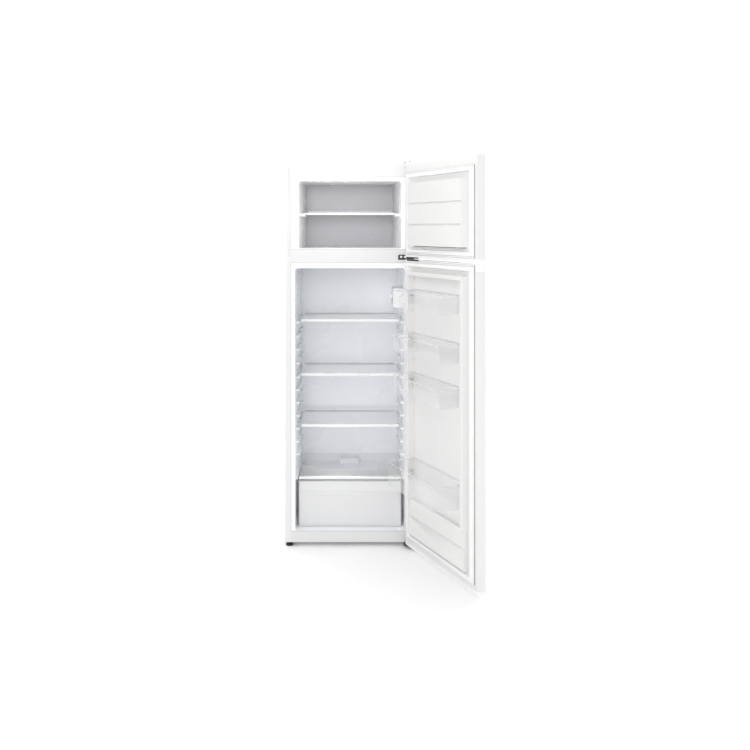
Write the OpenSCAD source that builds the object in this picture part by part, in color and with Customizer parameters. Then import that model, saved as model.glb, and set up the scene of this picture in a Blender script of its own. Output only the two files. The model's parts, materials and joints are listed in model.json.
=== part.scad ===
// Top freezer refrigerator: foamed steel cabinet, two doors hinged on the right, static cooling circuit.
// +X is right, +Y runs into the cabinet, +Z is up. The origin is on the floor under the front's middle.
// Both doors are drawn swung open by door_open, and each shelf, drawer and bin is in its place.

/* [Cabinet] */
// Width of the cabinet and of both doors
cabinet_w = 540; // [450:5:660]
// Depth of the steel shell, without doors and condenser
shell_d = 510; // [425:5:620]
// Height of the shell's underside above the floor
floor_gap = 17; // [14:1:40]
// Height of the rail below the refrigerator opening
bottom_rail_h = 47; // [36:1:80]
// Height of the refrigerator opening
fridge_h = 1090; // [900:5:1320]
// Height of the steel rail between the two openings
divider_h = 56; // [46:1:80]
// Height of the freezer opening
freezer_h = 280; // [230:5:420]
// Height of the rail above the freezer opening
top_rail_h = 60; // [48:1:90]
// Width of the folded steel edge at each side of the front
edge_w = 25; // [20:1:30]
// Thickness of the steel sheet
sheet = 1; // [0.6:0.1:1.4]
// Thickness of the plastic liners
liner = 2; // [1.5:0.1:3]

/* [Insulation] */
// Side wall of the refrigerator, from the outside to the opening
fridge_wall = 42; // [36:1:52]
// Side wall of the freezer, from the outside to the opening
freezer_wall = 58; // [48:1:70]
// Foam behind the refrigerator liner
back_foam = 75; // [55:1:95]
// Foam behind the freezer liner
freezer_back_foam = 160; // [100:5:200]
// How far each side wall of the refrigerator leans in from front to back
draft = 5; // [2:1:8]
// How far each side wall of the freezer leans in from front to back
freezer_draft = 15; // [5:1:20]

/* [Machine space] */
// Depth of the machine space at the bottom of the back
machine_d = 165; // [155:1:200]
// Height of the machine space above the shell's underside
machine_h = 194; // [190:1:240]
// Foam above the machine space, below the liner's step
step_foam = 22; // [18:1:40]
// Foam in front of the machine space, behind the crisper drawer
step_front_foam = 47; // [30:1:60]
// Height of the compressor's can
compressor_h = 140; // [110:1:142]
// Radius of the compressor's can
compressor_r = 70; // [55:1:72]

/* [Doors] */
// Angle that both doors stand open
door_open = 114; // [90:1:125]
// Thickness of a door without its gasket
door_t = 40; // [34:1:50]
// Space between a closed door and the cabinet, which the gasket fills
gasket_gap = 12; // [10:1:16]
// Gap between the two doors, which the middle hinge's arm passes through
door_gap = 4; // [3.8:0.1:6]
// Hinge axis, inward from the side of the door
hinge_in = 16; // [14:1:22]
// Width of the gasket's base
gasket_w = 28; // [22:1:32]
// Height that the door liners stand up behind the gasket
dyke_h = 28; // [20:1:34]
// Height of the refrigerator door's top end cap
tall_cap_h = 28; // [24:1:34]
// Height of the other end caps
cap_h = 12; // [10:1:16]
// Radius of the hinge pins
pin_r = 4; // [3:0.5:5]
// Running clearance around pins, studs and shafts
pin_clearance = 0.05; // [0.02:0.01:0.1]

/* [Fittings] */
// Heights of the three shelves, in percent of the room above the crisper, from the lowest up
shelf_share = [23.2, 48, 74.3];
// Thickness of the shelf glass
glass_t = 4; // [3:0.5:5]
// Space between a closed door's small bins and the shelves
shelf_clear = 17; // [8:1:30]
// Space between a refrigerator shelf and the liner's back wall
shelf_back_gap = 22; // [12:1:40]
// Height of the shelf trims
trim_h = 11; // [9:1:14]
// Height of the crisper drawer
drawer_h = 190; // [150:5:195]
// Height of the three small door bins
bin_h = 70; // [55:1:80]
// Height of the bottle bin
bottle_bin_h = 95; // [80:1:120]
// How far the small bins stand out beyond the door liner's ridges
bin_reach = 77; // [60:1:80]
// How far the bottle bin stands out beyond the door liner's ridges
bottle_reach = 98; // [80:1:100]
// Wall of the bins and of the drawer
bin_wall = 2.5; // [2:0.1:3]
// Clearance between a loose piece and what carries it
slide_gap = 0.5; // [0.3:0.1:1]

/* [Hidden] */
$fn = 48;
eps = 0.01;
half_w = cabinet_w / 2;

// Levels from the floor up
fridge_lip = 2;
flange_lip = 22;
freezer_lip = 4;
top_lip = 17;
rail_top = floor_gap + bottom_rail_h;
fridge_z = rail_top + fridge_lip;
fridge_top = fridge_z + fridge_h;
divider_z = fridge_top + flange_lip;
freezer_z = divider_z + divider_h + freezer_lip;
freezer_top = freezer_z + freezer_h;
top_rail_z = freezer_top + top_lip;
cabinet_top = top_rail_z + top_rail_h;

// Depths
fridge_back = shell_d - sheet - back_foam - liner;
freezer_back = shell_d - sheet - freezer_back_foam - liner;
machine_y = shell_d - machine_d;
step_back = machine_y - sheet - step_front_foam - liner;
machine_top = floor_gap + machine_h;
step_z = machine_top + sheet + step_foam + liner;
tray_z = floor_gap + 3;
tray_t = 2;

// Half widths of the two openings
fridge_half = half_w - fridge_wall;
freezer_half = half_w - freezer_wall;
flange_half = half_w - edge_w;

// Doors, closed
door_back = -gasket_gap;
door_front = -gasket_gap - door_t;
axis_x = half_w - hinge_in;
axis_y = door_back - door_t / 2;
split_z = divider_z + 17;
fridge_door = [floor_gap + 2, split_z];
freezer_door = [split_z + door_gap, cabinet_top - 1];
edge_fold = 14;
cap_wall = 2.5;
boss_r = pin_r + 5;
pin_l = 20;
hole_l = pin_l + 2;
hinge_t = 3;
arm_z = split_z + (door_gap - hinge_t) / 2;
plate_z = [split_z - 4, split_z + 17];
gasket_edge = hinge_in;
fridge_gasket = [fridge_z - gasket_w + 13, plate_z[0] - 2];
freezer_gasket = [plate_z[1] + 3, top_rail_z + 15];
gasket_clear = 0.5;
fridge_dyke = 60;
freezer_dyke = 64;
dyke_w = 15;
dyke_top = door_back + dyke_h;
ledge_h = 14;
ledge_z = step_z - 5;
raised_base = door_back - liner - 1;
back_lip = 12;
plug_z = [cabinet_top - 14, plate_z[0] + 4];
plug_in = 7;
plug_r = 3;

// Grip pockets in the two facing end caps
grip_x = -half_w + 30;
grip_w = 150;
grip_y = door_front + cap_wall;
grip_d = 16;

// Shelves, drawer and bins
rib_w = 14;
rib_h = 6;
ribs_between = 3;
crisper_z = step_z + 40;
crisper_in = 40;
shelf_z = [for (s = shelf_share) crisper_z + round(s / 100 * (fridge_top - crisper_z))];
shelf_in = dyke_top + bin_reach + shelf_clear;
shelf_d = fridge_back - shelf_back_gap - shelf_in;
drawer_in = 45;
drawer_foot = fridge_z + slide_gap;
drawer_half = fridge_half - draft - 6;
freezer_shelf_z = freezer_z + 147;
freezer_shelf_in = 110;
bin_half = half_w - fridge_dyke - dyke_w - slide_gap - 5;
bin_back = door_back + slide_gap;
bin_z = [fridge_door[1] - 188, fridge_door[1] - 365, fridge_door[1] - 525];
bottle_z = crisper_z + 25;
lug_h = 16;
lug_y = door_back + 8;
lug_d = 12;

// Light and thermostat on the right wall
light_z = shelf_z[2] + 55;
light_h = 80;
light_in = 100;
light_d = 140;
light_w = 38;
knob_r = 14;
shaft_r = 3;
switch_h = 26;
switch_w = 12;
button_r = 3;
button_out = 6;

// Feet
foot_r = 14.5;
foot_h = 8;
foot_y = 17;
foot_x = half_w - 18;
stud_r = 5;
stud_top = floor_gap + 14;
skid_r = 15;

// Cooling circuit behind the cabinet
tube_r = 2.5;
run_gap = 55;
run_z = machine_top + 90;
run_count = floor((cabinet_top - 120 - run_z) / run_gap);
run_half = half_w - 90;
condenser_y = shell_d + 20;
wire_r = 0.8;
wire_gap = 20;
wire_count = floor(2 * (run_half - 10) / wire_gap) + 1;
compressor_x = 70;
compressor_y = shell_d - 82;
bush_h = 10;
can_z = tray_z + tray_t + bush_h;
drain_y = fridge_back - 22;
drain_r = 6;
pipe_r = 3;
drier_r = 9;
drier_x = -half_w + 55;

// ---- Shared shapes ----

// A block between two corners
module block(low, high) {
    translate(low) cube(high - low);
}

// A flat outline with rounded corners, between two corners
module rounded(low, high, r) {
    w = high[0] - low[0];
    h = high[1] - low[1];
    translate([low[0] + r, low[1]]) square([w - 2 * r, h]);
    translate([low[0], low[1] + r]) square([w, h - 2 * r]);
    for (x = [low[0] + r, high[0] - r], y = [low[1] + r, high[1] - r])
        translate([x, y]) circle(r);
}

// An outline drawn in X and Z, run along Y
module along_y(y0, y1) {
    translate([0, y1, 0]) rotate([90, 0, 0]) linear_extrude(y1 - y0) children();
}

// An outline drawn in Y and Z, run along X
module along_x(x0, x1) {
    translate([x0, 0, 0]) rotate([90, 0, 90]) linear_extrude(x1 - x0) children();
}

// An outline drawn in X and Y, run along Z
module along_z(z0, z1) {
    translate([0, 0, z0]) linear_extrude(z1 - z0) children();
}

// A round bar along Z
module bar_z(x, y, z0, z1, r) {
    translate([x, y, z0]) cylinder(h = z1 - z0, r = r);
}

// A pipe through points whose legs each follow one axis, with ball elbows
module pipe(points, r) {
    for (i = [0 : len(points) - 2]) {
        a = points[i];
        step = points[i + 1] - a;
        length = norm(step);
        turn = step[2] != 0 ? [step[2] > 0 ? 0 : 180, 0, 0]
            : step[0] != 0 ? [0, step[0] > 0 ? 90 : -90, 0]
            : [step[1] > 0 ? -90 : 90, 0, 0];
        translate(a) rotate(turn) cylinder(h = length, r = r);
        if (i > 0) translate(a) sphere(r);
    }
}

// Everything on a door is drawn closed, then swung about the hinge axis
module swung() {
    translate([axis_x, axis_y, 0]) rotate([0, 0, door_open])
        translate([-axis_x, -axis_y, 0]) children();
}

// ---- Shell ----

// Side sheet with the folded edge that shows beside the liners
module side_panel(side) {
    outer = side * half_w;
    inner = side * (half_w - sheet);
    fold = side * flange_half;
    block([min(outer, inner), 0, floor_gap], [max(outer, inner), shell_d, cabinet_top]);
    block([min(fold, inner), 0, floor_gap], [max(fold, inner), sheet, cabinet_top]);
    lip = side * (half_w - sheet - back_lip);
    block([min(lip, inner), shell_d - 2 * sheet, floor_gap],
        [max(lip, inner), shell_d - sheet, cabinet_top - sheet]);
}

module side_panel_left() {
    color("white") difference() {
        side_panel(-1);
        for (z = plug_z) translate([-flange_half - plug_in, -eps, z])
            rotate([-90, 0, 0]) cylinder(h = sheet + 2 * eps, r = plug_r);
    }
}

module side_panel_right() {
    color("white") side_panel(1);
}

// Plugs of the spare hinge holes in the left folded edge
module hole_plugs() {
    color("gainsboro") for (z = plug_z) translate([-flange_half - plug_in, 0, z]) {
        rotate([90, 0, 0]) cylinder(h = 1, r = plug_r + 1.2);
        rotate([-90, 0, 0]) cylinder(h = sheet + 4, r = plug_r);
    }
}

module top_panel() {
    side = half_w - sheet;
    color("white") difference() {
        block([-side, sheet, cabinet_top - sheet], [side, shell_d, cabinet_top]);
        top_screw_places() cylinder(h = 20, r = screw_r, center = true);
    }
}

module top_front_rail() {
    color("white") {
        block([-flange_half, 0, top_rail_z], [flange_half, sheet, cabinet_top]);
        block([-flange_half, sheet, top_rail_z], [flange_half, 12, top_rail_z + sheet]);
    }
}

module divider_rail() {
    top = divider_z + divider_h;
    color("whitesmoke") difference() {
        union() {
            block([-flange_half, 0, divider_z], [flange_half, sheet, top]);
            block([-flange_half, sheet, divider_z], [flange_half, 12, divider_z + sheet]);
            block([-flange_half, sheet, top - sheet], [flange_half, 12, top]);
            // Relief line near the left end, pressed from behind
            block([-flange_half + 12, -0.4, divider_z + 22], [-flange_half + 62, 0, divider_z + 23.5]);
        }
        front_screw_places() rotate([90, 0, 0]) cylinder(h = 20, r = screw_r, center = true);
    }
}

module base_pan() {
    side = half_w - sheet;
    color("whitesmoke") difference() {
        union() {
            block([-flange_half, 0, floor_gap], [flange_half, sheet, rail_top]);
            block([-flange_half, sheet, rail_top - sheet], [flange_half, 12, rail_top]);
            block([-side, sheet, floor_gap], [side, machine_y - sheet, floor_gap + sheet]);
        }
        for (x = [-foot_x, foot_x])
            bar_z(x, foot_y, floor_gap - eps, floor_gap + sheet + eps, stud_r + 1);
        bottom_screw_places() cylinder(h = 20, r = screw_r, center = true);
    }
}

module back_panel() {
    side = half_w - sheet;
    color("lightgrey") difference() {
        block([-side, shell_d - sheet, machine_top + sheet], [side, shell_d, cabinet_top - sheet]);
        clip_places() rotate([90, 0, 0]) cylinder(h = 20, r = clip_pin_r, center = true);
    }
}

// The bent sheet that roofs the machine space and closes its front
module machine_deck() {
    side = half_w - sheet;
    color("silver") difference() {
        union() {
            block([-side, machine_y - sheet, floor_gap], [side, machine_y, machine_top + sheet]);
            block([-side, machine_y, machine_top], [side, shell_d - 2 * sheet, machine_top + sheet]);
        }
        bar_z(0, drain_y, machine_top - eps, machine_top + sheet + eps, drain_r + 0.5);
        for (p = deck_holes()) bar_z(p[0], p[1], machine_top - eps, machine_top + sheet + eps, pipe_r + 0.5);
    }
}

function deck_holes() = [[suction_x(), compressor_y], [drier_x + 90, shell_d - 40]];
function suction_x() = compressor_x + compressor_r + 28;

// ---- Liners and foam ----

// The space inside a liner, grown by a wall: rounded opening, leaning sides and a floor outline
module liner_space(half, z0, z1, back, r, lean, grow) {
    intersection() {
        along_y(-1, back + grow)
            rounded([-half - grow, z0 - grow], [half + grow, z1 + grow], r + grow);
        along_z(z0 - grow - 1, z1 + grow + 1) polygon([
            [-half - grow, -1], [half + grow, -1],
            [half - lean + grow, back + grow], [-half + lean - grow, back + grow]
        ]);
    }
}

gutter_gap = 4;
fridge_corner = 12;
freezer_corner = 8;

module fridge_space(grow) {
    difference() {
        liner_space(fridge_half, fridge_z, fridge_top, fridge_back, fridge_corner, draft, grow);
        block([-half_w, step_back + grow, 0], [half_w, shell_d, step_z - grow]);
    }
}

module freezer_space(grow) {
    liner_space(freezer_half, freezer_z, freezer_top, freezer_back, freezer_corner, freezer_draft, grow);
}

// Heights of all the ribs: under each shelf, evenly between shelves, and two below the lowest
function rib_tops() = concat(
    [for (i = [1, 2]) shelf_z[0] - i * rib_pitch()],
    [for (s = [0 : len(shelf_z) - 2], i = [0 : ribs_between])
        shelf_z[s] + i * (shelf_z[s + 1] - shelf_z[s]) / (ribs_between + 1)],
    [shelf_z[len(shelf_z) - 1]]
);
function rib_pitch() = 55;
function rib_top(z) = z - glass_t - slide_gap;

module fridge_ribs() {
    rib_y = [shelf_in - 40, shelf_in + shelf_d - 10];
    for (z = rib_tops(), s = [-1, 1]) {
        out = s * (fridge_half + 1);
        tip = s * (fridge_half - rib_w);
        block([min(out, tip), rib_y[0], rib_top(z) - rib_h],
            [max(out, tip), rib_y[1], rib_top(z)]);
    }
    // Ledges that carry the cover glass of the crisper
    for (s = [-1, 1]) {
        out = s * (fridge_half + 1);
        tip = s * (fridge_half - 9);
        block([min(out, tip), crisper_in + 5, rib_top(crisper_z) - rib_h],
            [max(out, tip), rib_y[1], rib_top(crisper_z)]);
    }
}

module fridge_liner() {
    color("white") difference() {
        union() {
            difference() {
                union() {
                    along_y(0, liner)
                        translate([-flange_half, rail_top])
                            square([2 * flange_half, divider_z - rail_top]);
                    intersection() {
                        fridge_space(liner);
                        block([-half_w, 0, 0], [half_w, shell_d, cabinet_top]);
                    }
                }
                fridge_space(0);
            }
            intersection() {
                fridge_ribs();
                fridge_space(liner / 2);
            }
            // Gutter round the drain, open to the back wall that the water runs down
            difference() {
                block([-46, fridge_back - 44, step_z - eps], [42, fridge_back - gutter_gap, step_z + 24]);
                block([-40, fridge_back - 38, step_z], [36, fridge_back, step_z + 25]);
            }
        }
        bar_z(0, drain_y, step_z - liner - 1, step_z + 1, drain_r);
    }
}

module freezer_liner() {
    color("white") {
        difference() {
            union() {
                along_y(0, liner)
                    translate([-flange_half, freezer_z - freezer_lip])
                        square([2 * flange_half, top_rail_z - freezer_z + freezer_lip]);
                intersection() {
                    freezer_space(liner);
                    block([-half_w, 0, 0], [half_w, shell_d, cabinet_top]);
                }
            }
            freezer_space(0);
        }
        intersection() {
            for (s = [-1, 1]) {
                out = s * (freezer_half + 1);
                tip = s * (freezer_half - 22);
                block([min(out, tip), freezer_shelf_in - 40, freezer_shelf_z - 12],
                    [max(out, tip), freezer_back - 20, freezer_shelf_z - slide_gap]);
            }
            freezer_space(liner / 2);
        }
    }
}

// Roll-bonded plates behind the two liners and the pipe that joins them, hidden in the foam
evaporator_t = 3;
evaporator_d = 360;

module evaporator_shapes(front, r) {
    x = freezer_half - 92;
    y_low = fridge_back + liner + evaporator_t + pipe_r;
    y_high = freezer_back + liner + 2.5;
    block([-freezer_half + 20, freezer_back + front, freezer_z + 20],
        [freezer_half - 20, freezer_back + liner + evaporator_t, freezer_top - 20]);
    block([-fridge_half + 30, fridge_back + front, fridge_top - 60 - evaporator_d],
        [fridge_half - 30, fridge_back + liner + evaporator_t, fridge_top - 60]);
    pipe([[x, y_low, fridge_top - 100], [x, y_low, freezer_z - 20], [x, y_high, freezer_z - 20],
        [x, y_high, freezer_z + 21]], r);
}

module evaporators() {
    color("silver") evaporator_shapes(liner, 2);
}

module cabinet_foam() {
    side = half_w - sheet;
    color("khaki") difference() {
        block([-side, 12, floor_gap + sheet], [side, shell_d - 2 * sheet, cabinet_top - sheet]);
        fridge_space(liner);
        freezer_space(liner);
        block([-side - 1, machine_y - sheet, 0], [side + 1, shell_d + 1, machine_top + sheet]);
        evaporator_shapes(0, 2.2);
        bar_z(0, drain_y, machine_top, step_z, drain_r + liner);
        for (x = [-foot_x, foot_x]) bar_z(x, foot_y, floor_gap, stud_top + 4, stud_r + 3);
        for (s = [-1, 1])
            block([s > 0 ? side - 13 : -side - 1, shell_d - 2 * sheet - 0.5, 0],
                [s > 0 ? side + 1 : -side + 13, shell_d, cabinet_top]);
        for (p = deck_holes()) bar_z(p[0], p[1], machine_top, machine_top + sheet + 12, pipe_r + 0.5);
        top_screw_places() cylinder(h = 40, r = screw_r + 0.5, center = true);
        bottom_screw_places() cylinder(h = 40, r = screw_r + 0.5, center = true);
        clip_places() rotate([90, 0, 0]) cylinder(h = 40, r = clip_pin_r + 0.5, center = true);
    }
}

// ---- Machine space ----

tray_front = machine_y + 5;
tray_back = shell_d - 5;
bush_x = 55;
bush_y = 50;

module compressor_tray() {
    side = half_w - sheet - 1;
    color("grey") difference() {
        union() {
            block([-side, tray_front, tray_z], [side, tray_back, tray_z + tray_t]);
            block([-side, tray_back - tray_t, tray_z], [side, tray_back, tray_z + 14]);
            for (s = [-1, 1]) block([s * side - (s > 0 ? tray_t : 0), tray_front, tray_z],
                [s * side + (s > 0 ? 0 : tray_t), tray_back, tray_z + 30]);
        }
        bush_places() cylinder(h = 20, r = 5, center = true);
    }
}

module bush_places() {
    for (x = [-bush_x, bush_x], y = [-bush_y, bush_y])
        translate([compressor_x + x, compressor_y + y, tray_z + tray_t]) children();
}

module compressor_bushes() {
    color("black") bush_places() difference() {
        union() {
            cylinder(h = bush_h, r = 9);
            translate([0, 0, -tray_t]) cylinder(h = tray_t, r = 5);
        }
        translate([0, 0, -tray_t - 1]) cylinder(h = bush_h + tray_t + 2, r = 3);
    }
}

// Welded can on its foot plate, with the three stubs that the pipes join
module compressor() {
    dome = 26;
    seam = can_z + 3 + compressor_h * 0.48;
    color("black") difference() {
        union() {
            block([compressor_x - bush_x - 14, compressor_y - bush_y - 14, can_z],
                [compressor_x + bush_x + 14, compressor_y + bush_y + 14, can_z + 3]);
            translate([compressor_x, compressor_y, can_z + 3]) rotate_extrude() intersection() {
                union() {
                    translate([0, dome]) square([compressor_r - 4, compressor_h - 2 * dome]);
                    square([compressor_r - 4 - dome, compressor_h]);
                    translate([compressor_r - 4 - dome, dome]) circle(dome);
                    translate([compressor_r - 4 - dome, compressor_h - dome]) circle(dome);
                }
                square([compressor_r, compressor_h]);
            }
            bar_z(compressor_x, compressor_y, seam - 3, seam + 3, compressor_r);
            translate([compressor_x + compressor_r - 12, compressor_y, can_z + 60])
                rotate([0, 90, 0]) cylinder(h = 20, r = pipe_r + 1.5);
            translate([compressor_x + compressor_r - 12, compressor_y, can_z + 100])
                rotate([0, 90, 0]) cylinder(h = 20, r = pipe_r + 1.5);
        }
        bush_places() cylinder(h = bush_h + 10, r = 3);
        translate([compressor_x + compressor_r, compressor_y, can_z + 60])
            rotate([0, 90, 0]) cylinder(h = 10, r = pipe_r);
        translate([compressor_x + compressor_r, compressor_y, can_z + 100])
            rotate([0, 90, 0]) cylinder(h = 10, r = pipe_r);
    }
}

// Relay and overload cover on the can's side, with the gland that the mains lead would enter
module start_relay() {
    face = compressor_x - compressor_r;
    color("dimgrey") difference() {
        union() {
            block([face - 34, compressor_y - 26, can_z + 44], [face - 0.2, compressor_y + 26, can_z + 98]);
            translate([face - 18, compressor_y + 25, can_z + 60])
                rotate([-90, 0, 0]) cylinder(h = 14, r = 7);
        }
        translate([face - 18, compressor_y + 20, can_z + 60])
            rotate([-90, 0, 0]) cylinder(h = 24, r = 4);
    }
}

module evaporating_tray() {
    z0 = can_z + 3 + compressor_h + 0.5;
    z1 = z0 + 20;
    x0 = -26;
    x1 = compressor_x + compressor_r - 10;
    y0 = machine_y + 18;
    y1 = shell_d - 12;
    color("dimgrey") difference() {
        block([x0, y0, z0], [x1, y1, z1]);
        block([x0 + 2, y0 + 2, z0 + 2], [x1 - 2, y1 - 2, z1 + 1]);
    }
}

module drain_tube() {
    color("white") difference() {
        bar_z(0, drain_y, can_z + 3 + compressor_h + 12, step_z - liner, drain_r + 0.4);
        bar_z(0, drain_y, can_z, step_z + 1, drain_r - 1);
    }
}

function run_at(i) = run_z + i * run_gap;

// Tube in level runs, joined by half-round bends, with upright wires on its outer side
module condenser() {
    last = run_at(run_count);
    color("dimgrey") {
        for (i = [0 : run_count])
            translate([-run_half, condenser_y, run_at(i)])
                rotate([0, 90, 0]) cylinder(h = 2 * run_half, r = tube_r);
        for (i = [0 : run_count - 1]) {
            s = i % 2 == 0 ? 1 : -1;
            translate([s * run_half, condenser_y, run_at(i) + run_gap / 2])
                rotate([90, 0, 0]) rotate([0, 0, s > 0 ? -90 : 90])
                    rotate_extrude(angle = 180) translate([run_gap / 2, 0]) circle(tube_r);
        }
        for (i = [0 : wire_count - 1])
            bar_z(-run_half + 10 + i * wire_gap, condenser_y + tube_r + wire_r + 0.05,
                run_z - 14, last + 14, wire_r);
    }
}

clip_pin_r = 2.5;

module clip_places() {
    for (x = [-run_half + 30, run_half - 30], i = [1, floor(run_count / 2), run_count - 1])
        translate([x, shell_d, run_at(i)]) children();
}

module condenser_clips() {
    color("white") clip_places() difference() {
        union() {
            rotate([-90, 0, 0]) cylinder(h = condenser_y - shell_d + 1, r = 6);
            rotate([90, 0, 0]) cylinder(h = sheet + 6, r = clip_pin_r);
        }
        translate([0, condenser_y - shell_d, 0])
            rotate([0, 90, 0]) cylinder(h = 20, r = tube_r + 0.05, center = true);
    }
}

module filter_drier() {
    color("peru") {
        bar_z(drier_x, shell_d - 30, can_z + 38, can_z + 118, drier_r);
        bar_z(drier_x, shell_d - 30, can_z + 28, can_z + 128, pipe_r + 1.2);
    }
}

module refrigerant_pipes() {
    x_out = compressor_x + compressor_r + 8;
    s_last = run_count % 2 == 0 ? 1 : -1;
    side_x = run_half + 45;
    top_z = run_at(run_count);
    color("peru") {
        // Suction line from the foam down to the can
        pipe([[suction_x(), compressor_y, machine_top + sheet + 10],
            [suction_x(), compressor_y, can_z + 100], [x_out - 7, compressor_y, can_z + 100]], pipe_r);
        // Delivery line from the can to the first run of the condenser
        pipe([[x_out - 7, compressor_y, can_z + 60], [x_out + 40, compressor_y, can_z + 60],
            [x_out + 40, condenser_y, can_z + 60], [x_out + 40, condenser_y, can_z + 80],
            [-side_x, condenser_y, can_z + 80], [-side_x, condenser_y, run_z],
            [-run_half - eps, condenser_y, run_z]], tube_r);
        // Return line from the last run down to the drier
        pipe([[s_last * run_half + s_last * eps, condenser_y, top_z], [s_last * side_x, condenser_y, top_z],
            [s_last * side_x, condenser_y, top_z + 30], [-side_x - 14, condenser_y, top_z + 30],
            [-side_x - 14, condenser_y, can_z + 140], [-side_x - 14, shell_d - 30, can_z + 140],
            [drier_x, shell_d - 30, can_z + 140], [drier_x, shell_d - 30, can_z + 128]], tube_r);
        // Capillary from the drier back into the foam
        pipe([[drier_x, shell_d - 30, can_z + 28], [drier_x, shell_d - 30, can_z + 16],
            [drier_x + 90, shell_d - 30, can_z + 16], [drier_x + 90, shell_d - 40, can_z + 16],
            [drier_x + 90, shell_d - 40, machine_top + sheet + 10]], 1.2);
    }
}

// ---- Feet and hinges ----

module rear_feet() {
    color("black") for (s = [-1, 1]) {
        bar_z(s * (half_w - 34), shell_d - 40, 0, tray_z, skid_r);
    }
}

// Levelling foot: pad, hexagon and stud
module foot(side) {
    color("black") {
        bar_z(side * foot_x, foot_y, 0, foot_h, foot_r);
        translate([side * foot_x, foot_y, foot_h - eps]) cylinder(h = 3, r = 9, $fn = 6);
        bar_z(side * foot_x, foot_y, foot_h, stud_top, stud_r);
    }
}

module foot_left() {
    foot(-1);
}

module foot_right() {
    foot(1);
}

screw_r = 2.5;

module bottom_screw_places() {
    for (x = [axis_x - 24, axis_x - 8], s = [-1, 1])
        translate([s * x, foot_y + 32, floor_gap]) children();
}

module top_screw_places() {
    for (x = [axis_x - 22, axis_x + 4]) translate([x, 30, cabinet_top]) children();
}

module front_screw_places() {
    for (x = [axis_x - 42, axis_x - 26])
        translate([x, 0, (plate_z[0] + plate_z[1]) / 2 + 2]) children();
}

// Plate under the left front corner, which the left foot screws into
module foot_plate() {
    low = floor_gap - hinge_t;
    color("dimgrey") difference() {
        block([-half_w + 3, 8, low], [-axis_x + 32, foot_y + 44, floor_gap]);
        bar_z(-foot_x, foot_y, low - eps, floor_gap + eps, stud_r + pin_clearance);
        bottom_screw_places() cylinder(h = 20, r = screw_r, center = true);
    }
}

// Plate under the right front corner: its arm carries the refrigerator door, its hole takes the foot
module bottom_hinge() {
    low = floor_gap - hinge_t;
    color("dimgrey") difference() {
        union() {
            along_z(low, floor_gap) {
                translate([axis_x - 32, axis_y]) square([32 + half_w - 3 - axis_x, foot_y + 44 - axis_y]);
                translate([axis_x, axis_y]) circle(half_w - 3 - axis_x);
                translate([axis_x - 20, axis_y - 6]) square([20, 12]);
            }
            bar_z(axis_x, axis_y, floor_gap, floor_gap + 1, pin_r + 3);
            bar_z(axis_x, axis_y, floor_gap, fridge_door[0] + pin_l, pin_r);
        }
        bar_z(foot_x, foot_y, low - eps, floor_gap + eps, stud_r + pin_clearance);
        bottom_screw_places() cylinder(h = 20, r = screw_r, center = true);
    }
}

// Bracket on the divider rail: its arm lies between the doors and has a pin up and a pin down
module middle_hinge() {
    right = half_w - 6;
    color("dimgrey") difference() {
        union() {
            along_y(-hinge_t, 0) rounded([axis_x - 54, plate_z[0]], [right, plate_z[1]], 3);
            block([axis_x - 14, axis_y, arm_z], [right, -hinge_t + eps, arm_z + hinge_t]);
            bar_z(axis_x, axis_y, arm_z, arm_z + hinge_t, right - axis_x);
            bar_z(axis_x, axis_y, fridge_door[1] - pin_l, freezer_door[0] + pin_l, pin_r);
        }
        front_screw_places() rotate([90, 0, 0]) cylinder(h = 20, r = screw_r, center = true);
    }
}

module top_hinge() {
    right = half_w - 4;
    low = cabinet_top;
    color("dimgrey") difference() {
        union() {
            block([axis_x - 32, 8, low], [right, 46, low + hinge_t]);
            block([axis_x - 14, axis_y, low], [right, 8 + eps, low + hinge_t]);
            bar_z(axis_x, axis_y, low, low + hinge_t, right - axis_x);
            bar_z(axis_x, axis_y, freezer_door[1] - pin_l, low + eps, pin_r);
        }
        top_screw_places() cylinder(h = 20, r = screw_r, center = true);
    }
}

// A pan-head screw standing in its hole, head up
module screw(length) {
    cylinder(h = 2.4, r = 4.5);
    translate([0, 0, -length]) cylinder(h = length, r = screw_r);
}

module hinge_screws() {
    color("silver") {
        top_screw_places() translate([0, 0, hinge_t]) screw(12);
        front_screw_places() translate([0, -hinge_t, 0]) rotate([90, 0, 0]) screw(hinge_t + sheet);
        bottom_screw_places() translate([0, 0, -hinge_t]) rotate([180, 0, 0]) screw(12);
    }
}

// ---- Light and thermostat ----

light_x = fridge_half - draft;
light_face = light_x - light_w;
knob_y = light_in + 38;
knob_z = light_z + light_h / 2 + 6;
switch_y = dyke_top + 8;

// Hollow cover on the right wall, whose thin front arm holds the light button
module thermostat_housing() {
    top = light_z + light_h;
    color("white") difference() {
        union() {
            along_y(light_in, light_in + light_d)
                rounded([light_face, light_z], [light_x + 12, top], 10);
            block([light_x - switch_w, switch_y, light_z + 24],
                [light_x + 12, light_in + 5, light_z + 24 + switch_h]);
        }
        // Trimmed to the leaning wall
        along_z(light_z - 1, top + 1) polygon([
            [fridge_half, -1], [half_w, -1], [half_w, fridge_back], [fridge_half - draft, fridge_back]
        ]);
        // Lamp chamber, open towards the shelves
        block([light_face - 1, light_in + 66, light_z + 8], [light_x - 4, light_in + light_d - 6, top - 8]);
        translate([light_face - 1, knob_y, knob_z])
            rotate([0, 90, 0]) cylinder(h = 16, r = shaft_r + pin_clearance);
        translate([light_x - switch_w / 2, switch_y - 1, light_z + 24 + switch_h / 2])
            rotate([-90, 0, 0]) cylinder(h = 15, r = button_r + pin_clearance);
    }
}

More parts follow.
